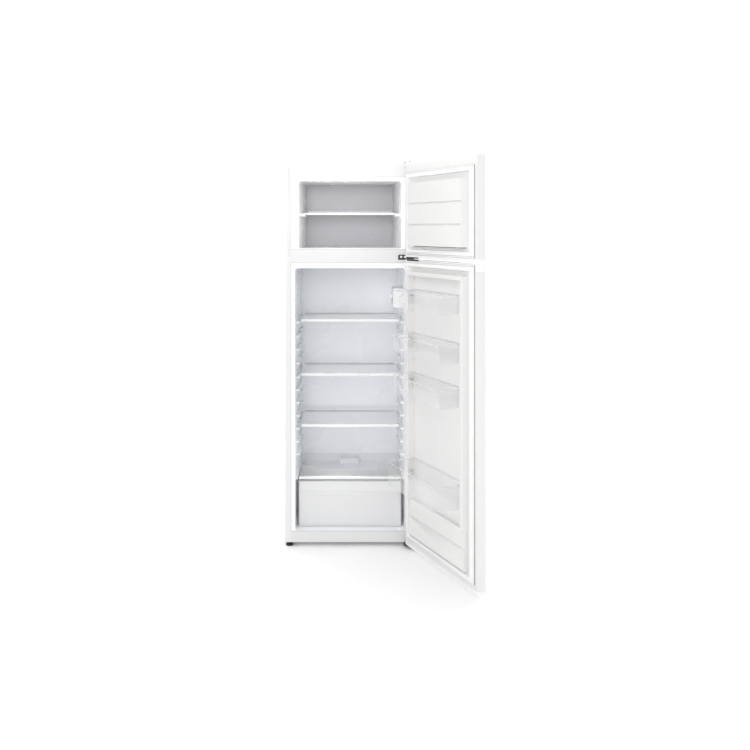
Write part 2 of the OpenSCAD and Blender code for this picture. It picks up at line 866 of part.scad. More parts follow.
module lamp() {
    x = light_x - 14;
    y = light_in + 72;
    z = light_z + light_h / 2;
    color("ivory") translate([x, y, z]) rotate([-90, 0, 0]) {
        cylinder(h = 16, r = 8);
        translate([0, 0, 14]) cylinder(h = 24, r = 10);
        translate([0, 0, 38]) sphere(10);
        translate([0, 0, -6]) cylinder(h = 7, r = 5);
    }
}

// Ribbed clear cover that clips over the lamp chamber
module lamp_lens() {
    color("lightcyan", 0.5) {
        block([light_face + 0.5, light_in + 66.3, light_z + 8.3],
            [light_face + 2.5, light_in + light_d - 6.3, light_z + light_h - 8.3]);
        for (z = [light_z + 16 : 8 : light_z + light_h - 14])
            block([light_face - 0.7, light_in + 68, z], [light_face + 0.6, light_in + light_d - 8, z + 3]);
    }
}

module thermostat_knob() {
    color("white") translate([light_face - 0.5, knob_y, knob_z]) rotate([0, -90, 0]) {
        cylinder(h = 5, r = knob_r);
        translate([0, 0, 4]) cylinder(h = 7, r = knob_r - 3);
        translate([-knob_r + 3, -1.5, 10]) cube([2 * knob_r - 6, 3, 3]);
        translate([0, 0, -12]) cylinder(h = 13, r = shaft_r);
    }
}

module light_button() {
    color("white")
        translate([light_x - switch_w / 2, switch_y - button_out, light_z + 24 + switch_h / 2])
            rotate([-90, 0, 0]) cylinder(h = button_out + 9, r = button_r);
}

// ---- Doors ----

// Outline of a door from above, drawn closed: flat back, rounded front edges
module door_outline(inset) {
    r = 9;
    side = half_w - inset;
    front = door_front + inset;
    translate([-side, front + r]) square([2 * side, door_back - inset - front - r]);
    translate([-side + r, front]) square([2 * (side - r), r + 1]);
    for (s = [-1, 1]) translate([s * (side - r), front + r]) circle(r);
}

// Folded sheet: front, sides and the narrow edge beside the liner
module door_skin(door, low_cap, top_cap) {
    side = half_w - edge_fold;
    color("white") along_z(door[0] + low_cap, door[1] - top_cap) difference() {
        door_outline(0);
        door_outline(sheet);
        translate([-side, door_back - sheet - 1]) square([2 * side, sheet + 2]);
    }
}

// Moulded tray that closes one end of a door; end is 1 at the top and -1 at the bottom
module door_cap(z, h, end) {
    z0 = end > 0 ? z - h : z;
    color("white") difference() {
        union() {
            difference() {
                along_z(z0, z0 + h) door_outline(0);
                along_z(end > 0 ? z0 - 1 : z0 + cap_wall, end > 0 ? z0 + h - cap_wall : z0 + h + 1)
                    door_outline(cap_wall);
            }
            bar_z(axis_x, axis_y, end > 0 ? z - hole_l - 3 : z, end > 0 ? z : z + hole_l + 3,
                min(boss_r, half_w - sheet - axis_x - eps));
        }
        bar_z(axis_x, axis_y, end > 0 ? z - hole_l : z - 1, end > 0 ? z + 1 : z + hole_l,
            pin_r + pin_clearance);
    }
}

// Pocket for the fingers, with its lip at the door's front, cut from the facing end caps
module grip(z0, z1, wall) {
    block([grip_x - wall, grip_y - wall + eps, z0], [grip_x + grip_w + wall, grip_y + grip_d + wall, z1]);
}

fridge_grip = [fridge_door[1] - tall_cap_h + 6, fridge_door[1]];
freezer_grip = [freezer_door[0], freezer_door[0] + cap_h + 6];

module fridge_door_caps() {
    swung() color("white") {
        door_cap(fridge_door[0], cap_h, -1);
        difference() {
            union() {
                door_cap(fridge_door[1], tall_cap_h, 1);
                intersection() {
                    grip(fridge_grip[0] - cap_wall, fridge_grip[1], cap_wall);
                    along_z(0, cabinet_top) door_outline(0);
                }
            }
            grip(fridge_grip[0], fridge_grip[1] + 1, 0);
            block([grip_x, door_front - 1, fridge_door[1] - 9],
                [grip_x + grip_w, grip_y + 1, fridge_door[1] + 1]);
        }
    }
}

module freezer_door_caps() {
    swung() color("white") {
        door_cap(freezer_door[1], cap_h, 1);
        difference() {
            union() {
                door_cap(freezer_door[0], cap_h, -1);
                intersection() {
                    grip(freezer_grip[0], freezer_grip[1] + cap_wall, cap_wall);
                    along_z(0, cabinet_top) door_outline(sheet);
                }
            }
            grip(freezer_grip[0] - 1, freezer_grip[1], 0);
        }
    }
}

// One straight ridge of a door liner, from its outer base: leaning outer wall, flat top
function ridge_outline(outer, inner, height, wall) = [
    [outer - wall, raised_base], [outer - wall, door_back],
    [outer - 3 - wall, door_back + height - wall], [inner + 1 + wall, door_back + height - wall],
    [inner + wall, door_back], [inner + wall, raised_base]
];

// Upright ridges at both sides and the level ridge that joins them at the top
module fridge_ridges(wall) {
    outer = half_w - fridge_dyke;
    inner = outer - dyke_w;
    z0 = ledge_z;
    z1 = fridge_top - 8;
    for (s = [0, 1]) mirror([s, 0, 0])
        along_z(z0 + wall, z1 - wall) polygon(ridge_outline(outer, inner, dyke_h, wall));
    block([-outer + 2 + wall, raised_base, z1 - 15 + wall],
        [outer - 2 - wall, door_back + dyke_h - wall, z1 - wall]);
}

// Raised lower panel with two steps, below the bottle bin
module fridge_lower_panel(wall) {
    outer = half_w - fridge_dyke;
    low = fridge_gasket[0] + gasket_w + 3;
    middle = (ledge_z + low) / 2 + 5;
    block([-outer + wall, raised_base, low + wall],
        [outer - wall, door_back + ledge_h - wall, ledge_z - wall]);
    block([-outer + 2 + wall, raised_base, low + 6 + wall],
        [outer - 2 - wall, door_back + ledge_h + 5 - wall, middle - wall]);
}

module lug_places() {
    for (z = concat(bin_z, [bottle_z])) translate([0, 0, z + 24]) children();
}

// Bosses on the ridges' inner walls that the bins hang on
module lugs() {
    inner = half_w - fridge_dyke - dyke_w;
    lug_places() for (s = [-1, 1]) {
        a = s * (inner + 1);
        b = s * (inner - 4);
        block([min(a, b), lug_y, 0], [max(a, b), lug_y + lug_d, lug_h]);
    }
}

// Flat sheet of a door liner between the end caps
module liner_plate(z0, z1) {
    side = half_w - edge_fold;
    block([-side, door_back - liner, z0], [side, door_back, z1]);
}

// What stands up from the sheet, kept on its room side and a little below it
module above_sheet(below) {
    intersection() {
        children();
        block([-half_w, door_back - liner - below, 0], [half_w, 0.5 * shell_d, cabinet_top]);
    }
}

module fridge_raised(wall) {
    fridge_ridges(wall);
    fridge_lower_panel(wall);
}

module fridge_door_liner() {
    swung() color("white") {
        difference() {
            union() {
                liner_plate(fridge_door[0] + cap_h, fridge_door[1] - tall_cap_h);
                above_sheet(0) fridge_raised(0);
            }
            fridge_raised(liner);
        }
        lugs();
    }
}

module freezer_pad(wall) {
    outer = half_w - freezer_dyke;
    z0 = freezer_z + 14;
    z1 = freezer_top - 14;
    difference() {
        along_z(z0 + wall, z1 - wall) polygon([
            [-outer + wall, raised_base], [-outer + wall, door_back],
            [-outer + 6 + wall, door_back + dyke_h - wall], [outer - 6 - wall, door_back + dyke_h - wall],
            [outer - wall, door_back], [outer - wall, raised_base]
        ]);
        for (i = [1, 2]) {
            z = z0 + i * (z1 - z0) / 3;
            along_x(-outer - 1, outer + 1) polygon([
                [door_back + dyke_h + 1, z + 4 + wall], [door_back + dyke_h + 1, z - 4 - wall],
                [door_back + dyke_h - 5 - wall, z - 1.5 - wall], [door_back + dyke_h - 5 - wall, z + 1.5 + wall]
            ]);
        }
    }
}

module freezer_door_liner() {
    swung() color("white") difference() {
        union() {
            liner_plate(freezer_door[0] + cap_h, freezer_door[1] - cap_h);
            above_sheet(0) freezer_pad(0);
        }
        freezer_pad(liner);
    }
}

module door_foam(door) {
    difference() {
        along_z(door[0] + cap_wall, door[1] - cap_wall) door_outline(cap_wall);
        block([-half_w, door_back - liner, 0], [half_w, 1, cabinet_top]);
        for (z = door) bar_z(axis_x, axis_y, z - hole_l - 3, z + hole_l + 3, boss_r + 0.1);
    }
}

module fridge_door_foam() {
    swung() color("khaki") {
        difference() {
            door_foam(fridge_door);
            grip(fridge_grip[0] - cap_wall, fridge_grip[1], cap_wall);
        }
        above_sheet(0.5) fridge_raised(liner);
    }
}

module freezer_door_foam() {
    swung() color("khaki") {
        difference() {
            door_foam(freezer_door);
            grip(freezer_grip[0], freezer_grip[1] + cap_wall, cap_wall);
        }
        above_sheet(0.5) freezer_pad(liner);
    }
}

// Magnetic gasket: flat base with the softer sealing tube on it
module gasket(z_range) {
    outer = half_w - gasket_edge;
    face = -gasket_clear;
    base = door_back + 3;
    mid = 4;
    color("gainsboro") {
        along_y(door_back, base) ring(outer, z_range, 0, gasket_w);
        along_y(base - eps, face) ring(outer, z_range, mid, gasket_w - mid);
    }
}

module ring(outer, z_range, a, b) {
    difference() {
        rounded([-outer + a, z_range[0] + a], [outer - a, z_range[1] - a], 6);
        rounded([-outer + b, z_range[0] + b], [outer - b, z_range[1] - b], 4);
    }
}

module fridge_door_skin() {
    swung() door_skin(fridge_door, cap_h, tall_cap_h);
}

module freezer_door_skin() {
    swung() door_skin(freezer_door, cap_h, cap_h);
}

module fridge_door_gasket() {
    swung() gasket(fridge_gasket);
}

module freezer_door_gasket() {
    swung() gasket(freezer_gasket);
}

// ---- Door bins ----

// Open-topped bin with rounded front corners and a hook at each side that rests on a lug
module door_bin(z, h, reach) {
    front = dyke_top + reach;
    hook = z + 24 + lug_h + slide_gap;
    r = 14;
    color("lightcyan", 0.4) swung() {
        difference() {
            along_z(z, z + h) bin_outline(front, r, 0);
            along_z(z + bin_wall, z + h + 1) bin_outline(front, r, bin_wall);
        }
        for (s = [-1, 1]) {
            a = s * (bin_half - 0.5);
            b = s * (bin_half + 4);
            block([min(a, b), lug_y, hook], [max(a, b), lug_y + lug_d, hook + 8]);
        }
        // Turned-out rim along the front
        block([-bin_half + r, front - 1, z + h - 4], [bin_half - r, front + 2, z + h]);
    }
}

module bin_outline(front, r, inset) {
    side = bin_half - inset;
    far = front - inset;
    rr = r - inset;
    translate([-side, bin_back + inset]) square([2 * side, far - rr - bin_back - inset]);
    translate([-side + rr, far - rr - 1]) square([2 * (side - rr), rr + 1]);
    for (s = [-1, 1]) translate([s * (side - rr), far - rr]) circle(rr);
}

module bin_upper() {
    door_bin(bin_z[0], bin_h, bin_reach);
}

module bin_middle() {
    door_bin(bin_z[1], bin_h, bin_reach);
}

module bin_lower() {
    door_bin(bin_z[2], bin_h, bin_reach);
}

module bottle_bin() {
    door_bin(bottle_z, bottle_bin_h, bottle_reach);
}

// ---- Shelves and drawer ----

shelf_half = fridge_half - draft - 1.5;

module glass_plate(half, y0, y1, z) {
    color("lightcyan", 0.4) block([-half, y0, z - glass_t], [half, y1, z]);
}

// Profiles gripping a glass plate's front and rear edges
module trims(half, y0, y1, z, h) {
    color("white") difference() {
        union() {
            along_x(-half, half) rounded([y0 - 5, z - h + 3], [y0 + 9, z + 3], 2);
            along_x(-half, half) rounded([y1 - 9, z - h + 3], [y1 + 3, z + 3], 2);
        }
        block([-half - 1, y0, z - glass_t], [half + 1, y1, z]);
    }
}

module refrigerator_shelf_glass(i) {
    glass_plate(shelf_half, shelf_in, shelf_in + shelf_d - 8, shelf_z[i]);
}

module refrigerator_shelf_trim(i) {
    trims(fridge_half - rib_w - draft - 1, shelf_in, shelf_in + shelf_d - 8, shelf_z[i], trim_h);
}

module shelf_low_glass() {
    refrigerator_shelf_glass(0);
}

module shelf_low_trim() {
    refrigerator_shelf_trim(0);
}

module shelf_middle_glass() {
    refrigerator_shelf_glass(1);
}

module shelf_middle_trim() {
    refrigerator_shelf_trim(1);
}

module shelf_high_glass() {
    refrigerator_shelf_glass(2);
}

module shelf_high_trim() {
    refrigerator_shelf_trim(2);
}

crisper_half = fridge_half - draft - 2;
crisper_trim_h = 8;

module crisper_glass() {
    glass_plate(crisper_half, crisper_in, fridge_back - 6, crisper_z);
}

module crisper_trim() {
    half = fridge_half - draft - 10;
    color("white") difference() {
        along_x(-half, half)
            rounded([crisper_in - 6, crisper_z - crisper_trim_h + 2], [crisper_in + 10, crisper_z + 2], 1.5);
        block([-half - 1, crisper_in, crisper_z - glass_t], [half + 1, crisper_in + 40, crisper_z]);
    }
}

// Clear drawer: stepped front, and a back wall with a dip in its middle
module crisper_drawer() {
    z0 = drawer_foot;
    z1 = z0 + drawer_h;
    y0 = drawer_in;
    y1 = step_back - 5;
    half = drawer_half;
    color("lightcyan", 0.5) difference() {
        union() {
            difference() {
                along_z(z0, z1) rounded([-half, y0], [half, y1], 10);
                along_z(z0 + bin_wall, z1 + 1)
                    rounded([-half + bin_wall, y0 + bin_wall], [half - bin_wall, y1 - bin_wall], 8);
            }
            // Ridge across the front, with the finger ledge under it
            block([-half + 12, y0 - 7, z1 - 52], [half - 12, y0 + 1, z1 - 46]);
        }
        along_y(y1 - 12, y1 + 1) polygon([
            [-130, z1 - 22], [120, z1 - 22], [150, z1 + 1], [-160, z1 + 1]
        ]);
    }
}

module freezer_shelf() {
    half = freezer_half - freezer_draft - slide_gap;
    bar = half - 7.5;
    y0 = freezer_shelf_in;
    y1 = freezer_back - 30;
    z = freezer_shelf_z;
    color("white") {
        block([-half, y0, z], [half, y1, z + 3]);
        along_x(-bar, bar) rounded([y0 - 5, z - 6], [y0 + 5, z + 4], 1.5);
        block([-bar, y1 - 4, z], [bar, y1, z + 16]);
        for (i = [-4 : 4])
            block([i * bar / 5 - 2, y0 + 2, z - 4], [i * bar / 5 + 2, y1 - 2, z + 1]);
    }
}

side_panel_left();
side_panel_right();
top_panel();
top_front_rail();
divider_rail();
base_pan();
back_panel();
machine_deck();
cabinet_foam();
freezer_liner();
fridge_liner();
evaporators();
compressor_tray();
compressor();
compressor_bushes();
start_relay();
evaporating_tray();
drain_tube();
condenser();
condenser_clips();
filter_drier();
refrigerant_pipes();
rear_feet();
foot_plate();
top_hinge();
middle_hinge();
bottom_hinge();
hinge_screws();
thermostat_housing();
lamp();
lamp_lens();
hole_plugs();
freezer_door_skin();
freezer_door_caps();
freezer_door_liner();
freezer_door_foam();
freezer_door_gasket();
fridge_door_skin();
fridge_door_caps();
fridge_door_liner();
fridge_door_foam();
fridge_door_gasket();
bin_upper();
bin_middle();
bin_lower();
bottle_bin();
crisper_drawer();
crisper_glass();
crisper_trim();
shelf_low_glass();
shelf_low_trim();
shelf_middle_glass();
shelf_middle_trim();
shelf_high_glass();
shelf_high_trim();
freezer_shelf();
thermostat_knob();
light_button();
foot_left();
foot_right();
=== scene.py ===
import json
import math
import bmesh
import bpy
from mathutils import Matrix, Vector


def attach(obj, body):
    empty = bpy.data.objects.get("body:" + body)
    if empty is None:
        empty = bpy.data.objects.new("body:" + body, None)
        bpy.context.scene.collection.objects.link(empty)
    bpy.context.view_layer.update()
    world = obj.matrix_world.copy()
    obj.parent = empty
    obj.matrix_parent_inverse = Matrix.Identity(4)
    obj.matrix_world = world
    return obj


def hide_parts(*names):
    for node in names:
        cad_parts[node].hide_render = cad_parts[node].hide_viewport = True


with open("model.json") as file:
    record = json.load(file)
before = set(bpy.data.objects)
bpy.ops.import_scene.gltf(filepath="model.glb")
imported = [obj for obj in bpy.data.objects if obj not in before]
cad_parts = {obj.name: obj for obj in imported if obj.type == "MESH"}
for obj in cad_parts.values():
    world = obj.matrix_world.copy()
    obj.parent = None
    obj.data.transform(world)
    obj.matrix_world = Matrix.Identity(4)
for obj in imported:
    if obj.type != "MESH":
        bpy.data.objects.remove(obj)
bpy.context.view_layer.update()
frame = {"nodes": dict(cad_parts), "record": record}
nodes = frame["nodes"]
scene = bpy.context.scene
scene.view_settings.view_transform = "Standard"

# Camera
cameraValues = {
    "place": (-0.0125, -3.5, 1.319),
    "lens": 40.416,
    "shiftX": 0.0373,
    "shiftY": -0.1947,
}
bpy.ops.object.camera_add(location=cameraValues["place"], rotation=(math.pi / 2, 0, 0))
camera = bpy.context.object
camera.name = "camera"
camera.data.sensor_width = 36
camera.data.lens = cameraValues["lens"]
camera.data.shift_x = cameraValues["shiftX"]
camera.data.shift_y = cameraValues["shiftY"]
scene.camera = camera
print("camera placed")


# Materials
def link(tree, source, output, target, socket):
    tree.links.new(source.outputs[output], target.inputs[socket])


def startMaterial(name):
    material = bpy.data.materials.new(name)
    material.use_nodes = True
    tree = material.node_tree
    shader = tree.nodes["Principled BSDF"]
    coordinates = tree.nodes.new("ShaderNodeTexCoord")
    return material, tree, shader, coordinates


def addNoise(tree, coordinates, scale, stretch=(1, 1, 1), detail=4.0):
    mapping = tree.nodes.new("ShaderNodeMapping")
    mapping.inputs["Scale"].default_value = stretch
    link(tree, coordinates, "Object", mapping, "Vector")
    noise = tree.nodes.new("ShaderNodeTexNoise")
    noise.inputs["Scale"].default_value = scale
    noise.inputs["Detail"].default_value = detail
    link(tree, mapping, "Vector", noise, "Vector")
    return noise


def addRamp(tree, source, low, high, start=0.3, end=0.7):
    ramp = tree.nodes.new("ShaderNodeValToRGB")
    ramp.color_ramp.elements[0].position = start
    ramp.color_ramp.elements[0].color = (*low, 1)
    ramp.color_ramp.elements[1].position = end
    ramp.color_ramp.elements[1].color = (*high, 1)
    tree.links.new(source, ramp.inputs["Fac"])
    return ramp


def addRange(tree, source, low, high):
    span = tree.nodes.new("ShaderNodeMapRange")
    span.inputs["From Min"].default_value = 0.3
    span.inputs["From Max"].default_value = 0.7
    span.inputs["To Min"].default_value = low
    span.inputs["To Max"].default_value = high
    tree.links.new(source, span.inputs["Value"])
    return span


def addBump(tree, shader, source, strength, distance):
    bump = tree.nodes.new("ShaderNodeBump")
    bump.inputs["Strength"].default_value = strength
    bump.inputs["Distance"].default_value = distance
    tree.links.new(source, bump.inputs["Height"])
    link(tree, bump, "Normal", shader, "Normal")
    return bump


def clearSurface(name, low, high, rough, thin, deep, patch=9.0, grain=500.0, specular=0.5,
                 ior=1.49, bump=(0.02, 0.0002), edgeBlend=0.35):
    material, tree, shader, coordinates = startMaterial(name)
    patches = addNoise(tree, coordinates, patch)
    ramp = addRamp(tree, patches.outputs["Fac"], low, high)
    link(tree, ramp, "Color", shader, "Base Color")
    span = addRange(tree, patches.outputs["Fac"], rough[0], rough[1])
    link(tree, span, "Result", shader, "Roughness")
    fine = addNoise(tree, coordinates, grain, detail=2.0)
    addBump(tree, shader, fine.outputs["Fac"], bump[0], bump[1])
    weight = tree.nodes.new("ShaderNodeLayerWeight")
    weight.inputs["Blend"].default_value = edgeBlend
    cover = tree.nodes.new("ShaderNodeMapRange")
    cover.inputs["To Min"].default_value = thin
    cover.inputs["To Max"].default_value = deep
    link(tree, weight, "Facing", cover, "Value")
    link(tree, cover, "Result", shader, "Alpha")
    shader.inputs["Specular IOR Level"].default_value = specular
    shader.inputs["IOR"].default_value = ior
    return material


def surface(name, low, high, patch=6.0, grain=500.0, rough=(0.3, 0.4), bump=(0.1, 0.0002),
            stretch=(1, 1, 1), metallic=0.0, coat=0.0, coatRough=0.15, specular=0.5,
            transmission=0.0, ior=1.5):
    material, tree, shader, coordinates = startMaterial(name)
    patches = addNoise(tree, coordinates, patch, stretch)
    ramp = addRamp(tree, patches.outputs["Fac"], low, high)
    link(tree, ramp, "Color", shader, "Base Color")
    fine = addNoise(tree, coordinates, grain, stretch, 2.0)
    span = addRange(tree, patches.outputs["Fac"], rough[0], rough[1])
    link(tree, span, "Result", shader, "Roughness")
    addBump(tree, shader, fine.outputs["Fac"], bump[0], bump[1])
    shader.inputs["Metallic"].default_value = metallic
    shader.inputs["Coat Weight"].default_value = coat
    shader.inputs["Coat Roughness"].default_value = coatRough
    shader.inputs["Specular IOR Level"].default_value = specular
    shader.inputs["Transmission Weight"].default_value = transmission
    shader.inputs["IOR"].default_value = ior
    return material


# A liner whose rear wall, from depth start to end, takes a darker shade of its own: painted shade
# for the shadow at the back of the compartment
def linerWithPaintedShadeBack(name, low, high, back, start, end, **others):
    material = surface(name, low, high, **others)
    tree = material.node_tree
    shader = tree.nodes["Principled BSDF"]
    ramp = tree.nodes["Color Ramp"]
    split = tree.nodes.new("ShaderNodeSeparateXYZ")
    link(tree, tree.nodes["Texture Coordinate"], "Object", split, "Vector")
    depth = tree.nodes.new("ShaderNodeMapRange")
    depth.inputs["From Min"].default_value = start
    depth.inputs["From Max"].default_value = end
    link(tree, split, "Y", depth, "Value")
    # Blends the liner colour into the darker rear-wall grey, which is painted shade
    mix = tree.nodes.new("ShaderNodeMix")
    mix.data_type = "RGBA"
    link(tree, depth, "Result", mix, "Factor")
    tree.links.new(ramp.outputs["Color"], mix.inputs[6])
    mix.inputs[7].default_value = (*back, 1)
    tree.links.new(mix.outputs[2], shader.inputs["Base Color"])
    return material


# What each finish is made of: two shades, their patch size, the grain, the gloss range and the bump
finishValues = {
    "white_steel": {"low": (0.752, 0.752, 0.752), "high": (0.762, 0.760, 0.757), "patch": 5,
        "grain": 900, "rough": (0.28, 0.36), "bump": (0.12, 0.0002), "coat": 0.3},
    "rail_steel": {"low": (0.715, 0.718, 0.722), "high": (0.725, 0.727, 0.730), "patch": 5,
        "grain": 900, "rough": (0.3, 0.4), "bump": (0.12, 0.0002), "coat": 0.2},
    "back_steel": {"low": (0.50, 0.51, 0.52), "high": (0.60, 0.61, 0.62), "patch": 9, "grain": 600,
        "rough": (0.4, 0.55), "bump": (0.2, 0.0003), "metallic": 0.6},
    "zinc_steel": {"low": (0.42, 0.43, 0.45), "high": (0.62, 0.63, 0.65), "patch": 28, "grain": 500,
        "rough": (0.3, 0.5), "bump": (0.2, 0.0003), "metallic": 0.9},
    "foam": {"low": (0.72, 0.62, 0.36), "high": (0.86, 0.77, 0.52), "patch": 60, "grain": 300,
        "rough": (0.8, 0.95), "bump": (0.6, 0.001)},
    "liner_plastic": {"low": (0.905, 0.918, 0.945), "high": (0.915, 0.927, 0.952), "patch": 4,
        "grain": 700, "rough": (0.22, 0.32), "bump": (0.08, 0.0002)},
    # Door liner plastic: a darker copy of the liner colour, painted shade for the doors' inner
    # faces turned away from the light
    "door_liner": {"low": (0.776, 0.772, 0.764), "high": (0.780, 0.776, 0.768), "patch": 14,
        "grain": 700, "rough": (0.29, 0.31), "bump": (0.08, 0.0002)},
    "white_plastic": {"low": (0.84, 0.845, 0.85), "high": (0.865, 0.868, 0.87), "patch": 9,
        "grain": 800, "rough": (0.25, 0.35), "bump": (0.08, 0.0002)},
    "aluminium_plate": {"low": (0.62, 0.63, 0.65), "high": (0.78, 0.79, 0.80), "patch": 30,
        "grain": 700, "rough": (0.3, 0.5), "bump": (0.2, 0.0003), "stretch": (1, 1, 8),
        "metallic": 1.0},
    "black_enamel": {"low": (0.012, 0.012, 0.013), "high": (0.03, 0.03, 0.032), "patch": 14,
        "grain": 600, "rough": (0.25, 0.45), "bump": (0.15, 0.0003)},
    "black_rubber": {"low": (0.010, 0.010, 0.010), "high": (0.024, 0.024, 0.024), "patch": 40,
        "grain": 900, "rough": (0.6, 0.8), "bump": (0.3, 0.0003)},
    "dark_plastic": {"low": (0.018, 0.018, 0.020), "high": (0.035, 0.035, 0.038), "patch": 30,
        "grain": 900, "rough": (0.35, 0.5), "bump": (0.2, 0.0002)},
    "copper": {"low": (0.50, 0.20, 0.11), "high": (0.85, 0.42, 0.26), "patch": 30, "grain": 400,
        "rough": (0.25, 0.5), "bump": (0.2, 0.0003), "metallic": 1.0},
    "hinge_steel": {"low": (0.02, 0.02, 0.022), "high": (0.05, 0.05, 0.055), "patch": 40,
        "grain": 700, "rough": (0.3, 0.5), "bump": (0.2, 0.0003), "metallic": 0.5},
    "screw_steel": {"low": (0.50, 0.50, 0.52), "high": (0.70, 0.70, 0.72), "patch": 60,
        "grain": 700, "rough": (0.25, 0.4), "bump": (0.2, 0.0003), "metallic": 1.0},
    "lamp_glass": {"low": (0.92, 0.92, 0.88), "high": (0.98, 0.98, 0.95), "patch": 30, "grain": 700,
        "rough": (0.05, 0.12), "bump": (0.05, 0.0002), "transmission": 0.6},
    "clear_plastic": {"low": (0.95, 0.955, 0.96), "high": (0.97, 0.975, 0.98),
        "rough": (0.05, 0.12), "thin": 0.05, "deep": 0.24},
    "clear_edge": {"low": (0.74, 0.75, 0.78), "high": (0.80, 0.81, 0.84), "rough": (0.08, 0.16),
        "thin": 0.30, "deep": 0.50},
    "drawer_plastic": {"low": (0.97, 0.972, 0.98), "high": (0.985, 0.987, 0.99),
        "rough": (0.12, 0.22), "thin": 0.54, "deep": 0.70},
    "shelf_glass": {"low": (0.90, 0.93, 0.925), "high": (0.92, 0.95, 0.94), "rough": (0.01, 0.05),
        "thin": 0.04, "deep": 0.14, "specular": 0.6, "ior": 1.52},
    # Freezer liner: its rear-wall grey is painted shade, and its side walls are kept whiter than
    # the fridge liner as painted light
    "freezer_liner": {"low": (0.96, 0.96, 0.965), "high": (0.97, 0.97, 0.975),
        "back": (0.62, 0.62, 0.65), "start": 0.335, "end": 0.3465, "patch": 4, "grain": 700,
        "rough": (0.22, 0.32), "bump": (0.08, 0.0002)},
    "gasket": {"low": (0.86, 0.86, 0.855), "high": (0.885, 0.885, 0.88), "patch": 20, "grain": 900,
        "rough": (0.4, 0.55), "bump": (0.15, 0.0002)},
    # Dark grey for the strips at the liner flanges' joints: painted shadow
    "seam": {"low": (0.27, 0.27, 0.27), "high": (0.33, 0.33, 0.33), "patch": 20, "grain": 900,
        "rough": (0.5, 0.6), "bump": (0.15, 0.0002)},
    # A dark grey used as painted shade, on the gaskets' outer sides and under the freezer door's
    # raised panel
    "gasket_side": {"low": (0.11, 0.11, 0.11), "high": (0.15, 0.15, 0.15), "patch": 20,
        "grain": 900, "rough": (0.5, 0.6), "bump": (0.15, 0.0002)},
}
finishes = {}
for name, values in finishValues.items():
    if "thin" in values:
        finishes[name] = clearSurface(name, **values)
    elif "back" in values:
        finishes[name] = linerWithPaintedShadeBack(name, **values)
    else:
        finishes[name] = surface(name, **values)
slotOf = {row["node"]: row["material_slot"] for row in frame["record"]["subparts"]}
# Nodes with finishes of their own that paint light and shade: a darker door liner and a freezer
# liner with a painted-shade rear wall
ownFinish = {
    "fridge_door_liner": "door_liner",
    "freezer_door_liner": "door_liner",
    "freezer_liner": "freezer_liner",
}
for name, node in nodes.items():
    node.data.materials.clear()
    node.data.materials.append(finishes[ownFinish.get(name, slotOf[name])])
print("materials set")

# Small rounded edges on the pressed and moulded CAD pieces
roundingValues = {
    "weldGap": 0.00001,
    "segments": 2,
    "sharpAngle": 50,
}
roundedEdges = {
    "top_front_rail": 0.0005, "divider_rail": 0.0005, "base_pan": 0.0005, "side_panel_left": 0.0005,
    "side_panel_right": 0.0005, "top_panel": 0.0004, "shelf_low_glass": 0.0008,
    "shelf_middle_glass": 0.0008, "shelf_high_glass": 0.0008, "crisper_glass": 0.0008,
    "thermostat_housing": 0.001, "thermostat_knob": 0.0006, "start_relay": 0.0012,
    "evaporating_tray": 0.0008, "top_hinge": 0.0005, "middle_hinge": 0.0005, "bottom_hinge": 0.0005,
    "freezer_shelf": 0.0006, "fridge_door_liner": 0.0012, "freezer_door_liner": 0.0015,
    "fridge_door_caps": 0.0006, "freezer_door_caps": 0.0006, "compressor_tray": 0.0005,
}
for name, width in roundedEdges.items():
    weld = nodes[name].modifiers.new("weld", "WELD")
    weld.merge_threshold = roundingValues["weldGap"]
    rounding = nodes[name].modifiers.new("rounding", "BEVEL")
    rounding.width = width
    rounding.segments = roundingValues["segments"]
    rounding.limit_method = "ANGLE"
    rounding.angle_limit = math.radians(roundingValues["sharpAngle"])
    rounding.harden_normals = False
print("edges rounded")

# Modelling helpers: skin is how near a face counts as lying in a plane, and along and across are
# the least and most of an axis in a direction that follows it or crosses it
skin = 0.0001
along = 0.9
across = 0.1


def addBox(name, low, high):
    bpy.ops.object.select_all(action="DESELECT")
    centre = [(a + b) / 2 for a, b in zip(low, high)]
    size = [b - a for a, b in zip(low, high)]
    bpy.ops.mesh.primitive_cube_add(size=1, location=centre, scale=size)
    return named(name)


def named(name):
    piece = bpy.context.object
    piece.name = name
    bpy.ops.object.transform_apply(location=True, rotation=True, scale=True)
    return piece


def startEdit(piece):
    bpy.ops.object.select_all(action="DESELECT")
    piece.select_set(True)
    bpy.context.view_layer.objects.active = piece
    bpy.ops.object.mode_set(mode="EDIT")


def endEdit(smooth=35):
    bpy.ops.mesh.select_mode(type="FACE")
    bpy.ops.mesh.select_all(action="SELECT")
    bpy.ops.mesh.normals_make_consistent(inside=False)
    bpy.ops.object.mode_set(mode="OBJECT")
    bpy.ops.object.shade_smooth_by_angle(angle=math.radians(smooth))


def pick(kind, test):
    mesh = bmesh.from_edit_mesh(bpy.context.object.data)
    bpy.ops.mesh.select_mode(type=kind)
    bpy.ops.mesh.select_all(action="DESELECT")
    if kind == "FACE":
        for face in mesh.faces:
            face.select_set(test(face.calc_center_median(), face.normal))
    elif kind == "EDGE":
        for edge in mesh.edges:
            a, b = (corner.co for corner in edge.verts)
            edge.select_set(test((a + b) / 2, (b - a).normalized()))
    else:
        for corner in mesh.verts:
            corner.select_set(test(corner.co, corner.normal))
    mesh.select_flush_mode()
    bmesh.update_edit_mesh(bpy.context.object.data)


def bisectAt(place, normal):
    bpy.ops.mesh.select_all(action="SELECT")
    bpy.ops.mesh.bisect(plane_co=place, plane_no=normal)


def move(x=0, y=0, z=0):
    bpy.ops.transform.translate(value=(x, y, z))


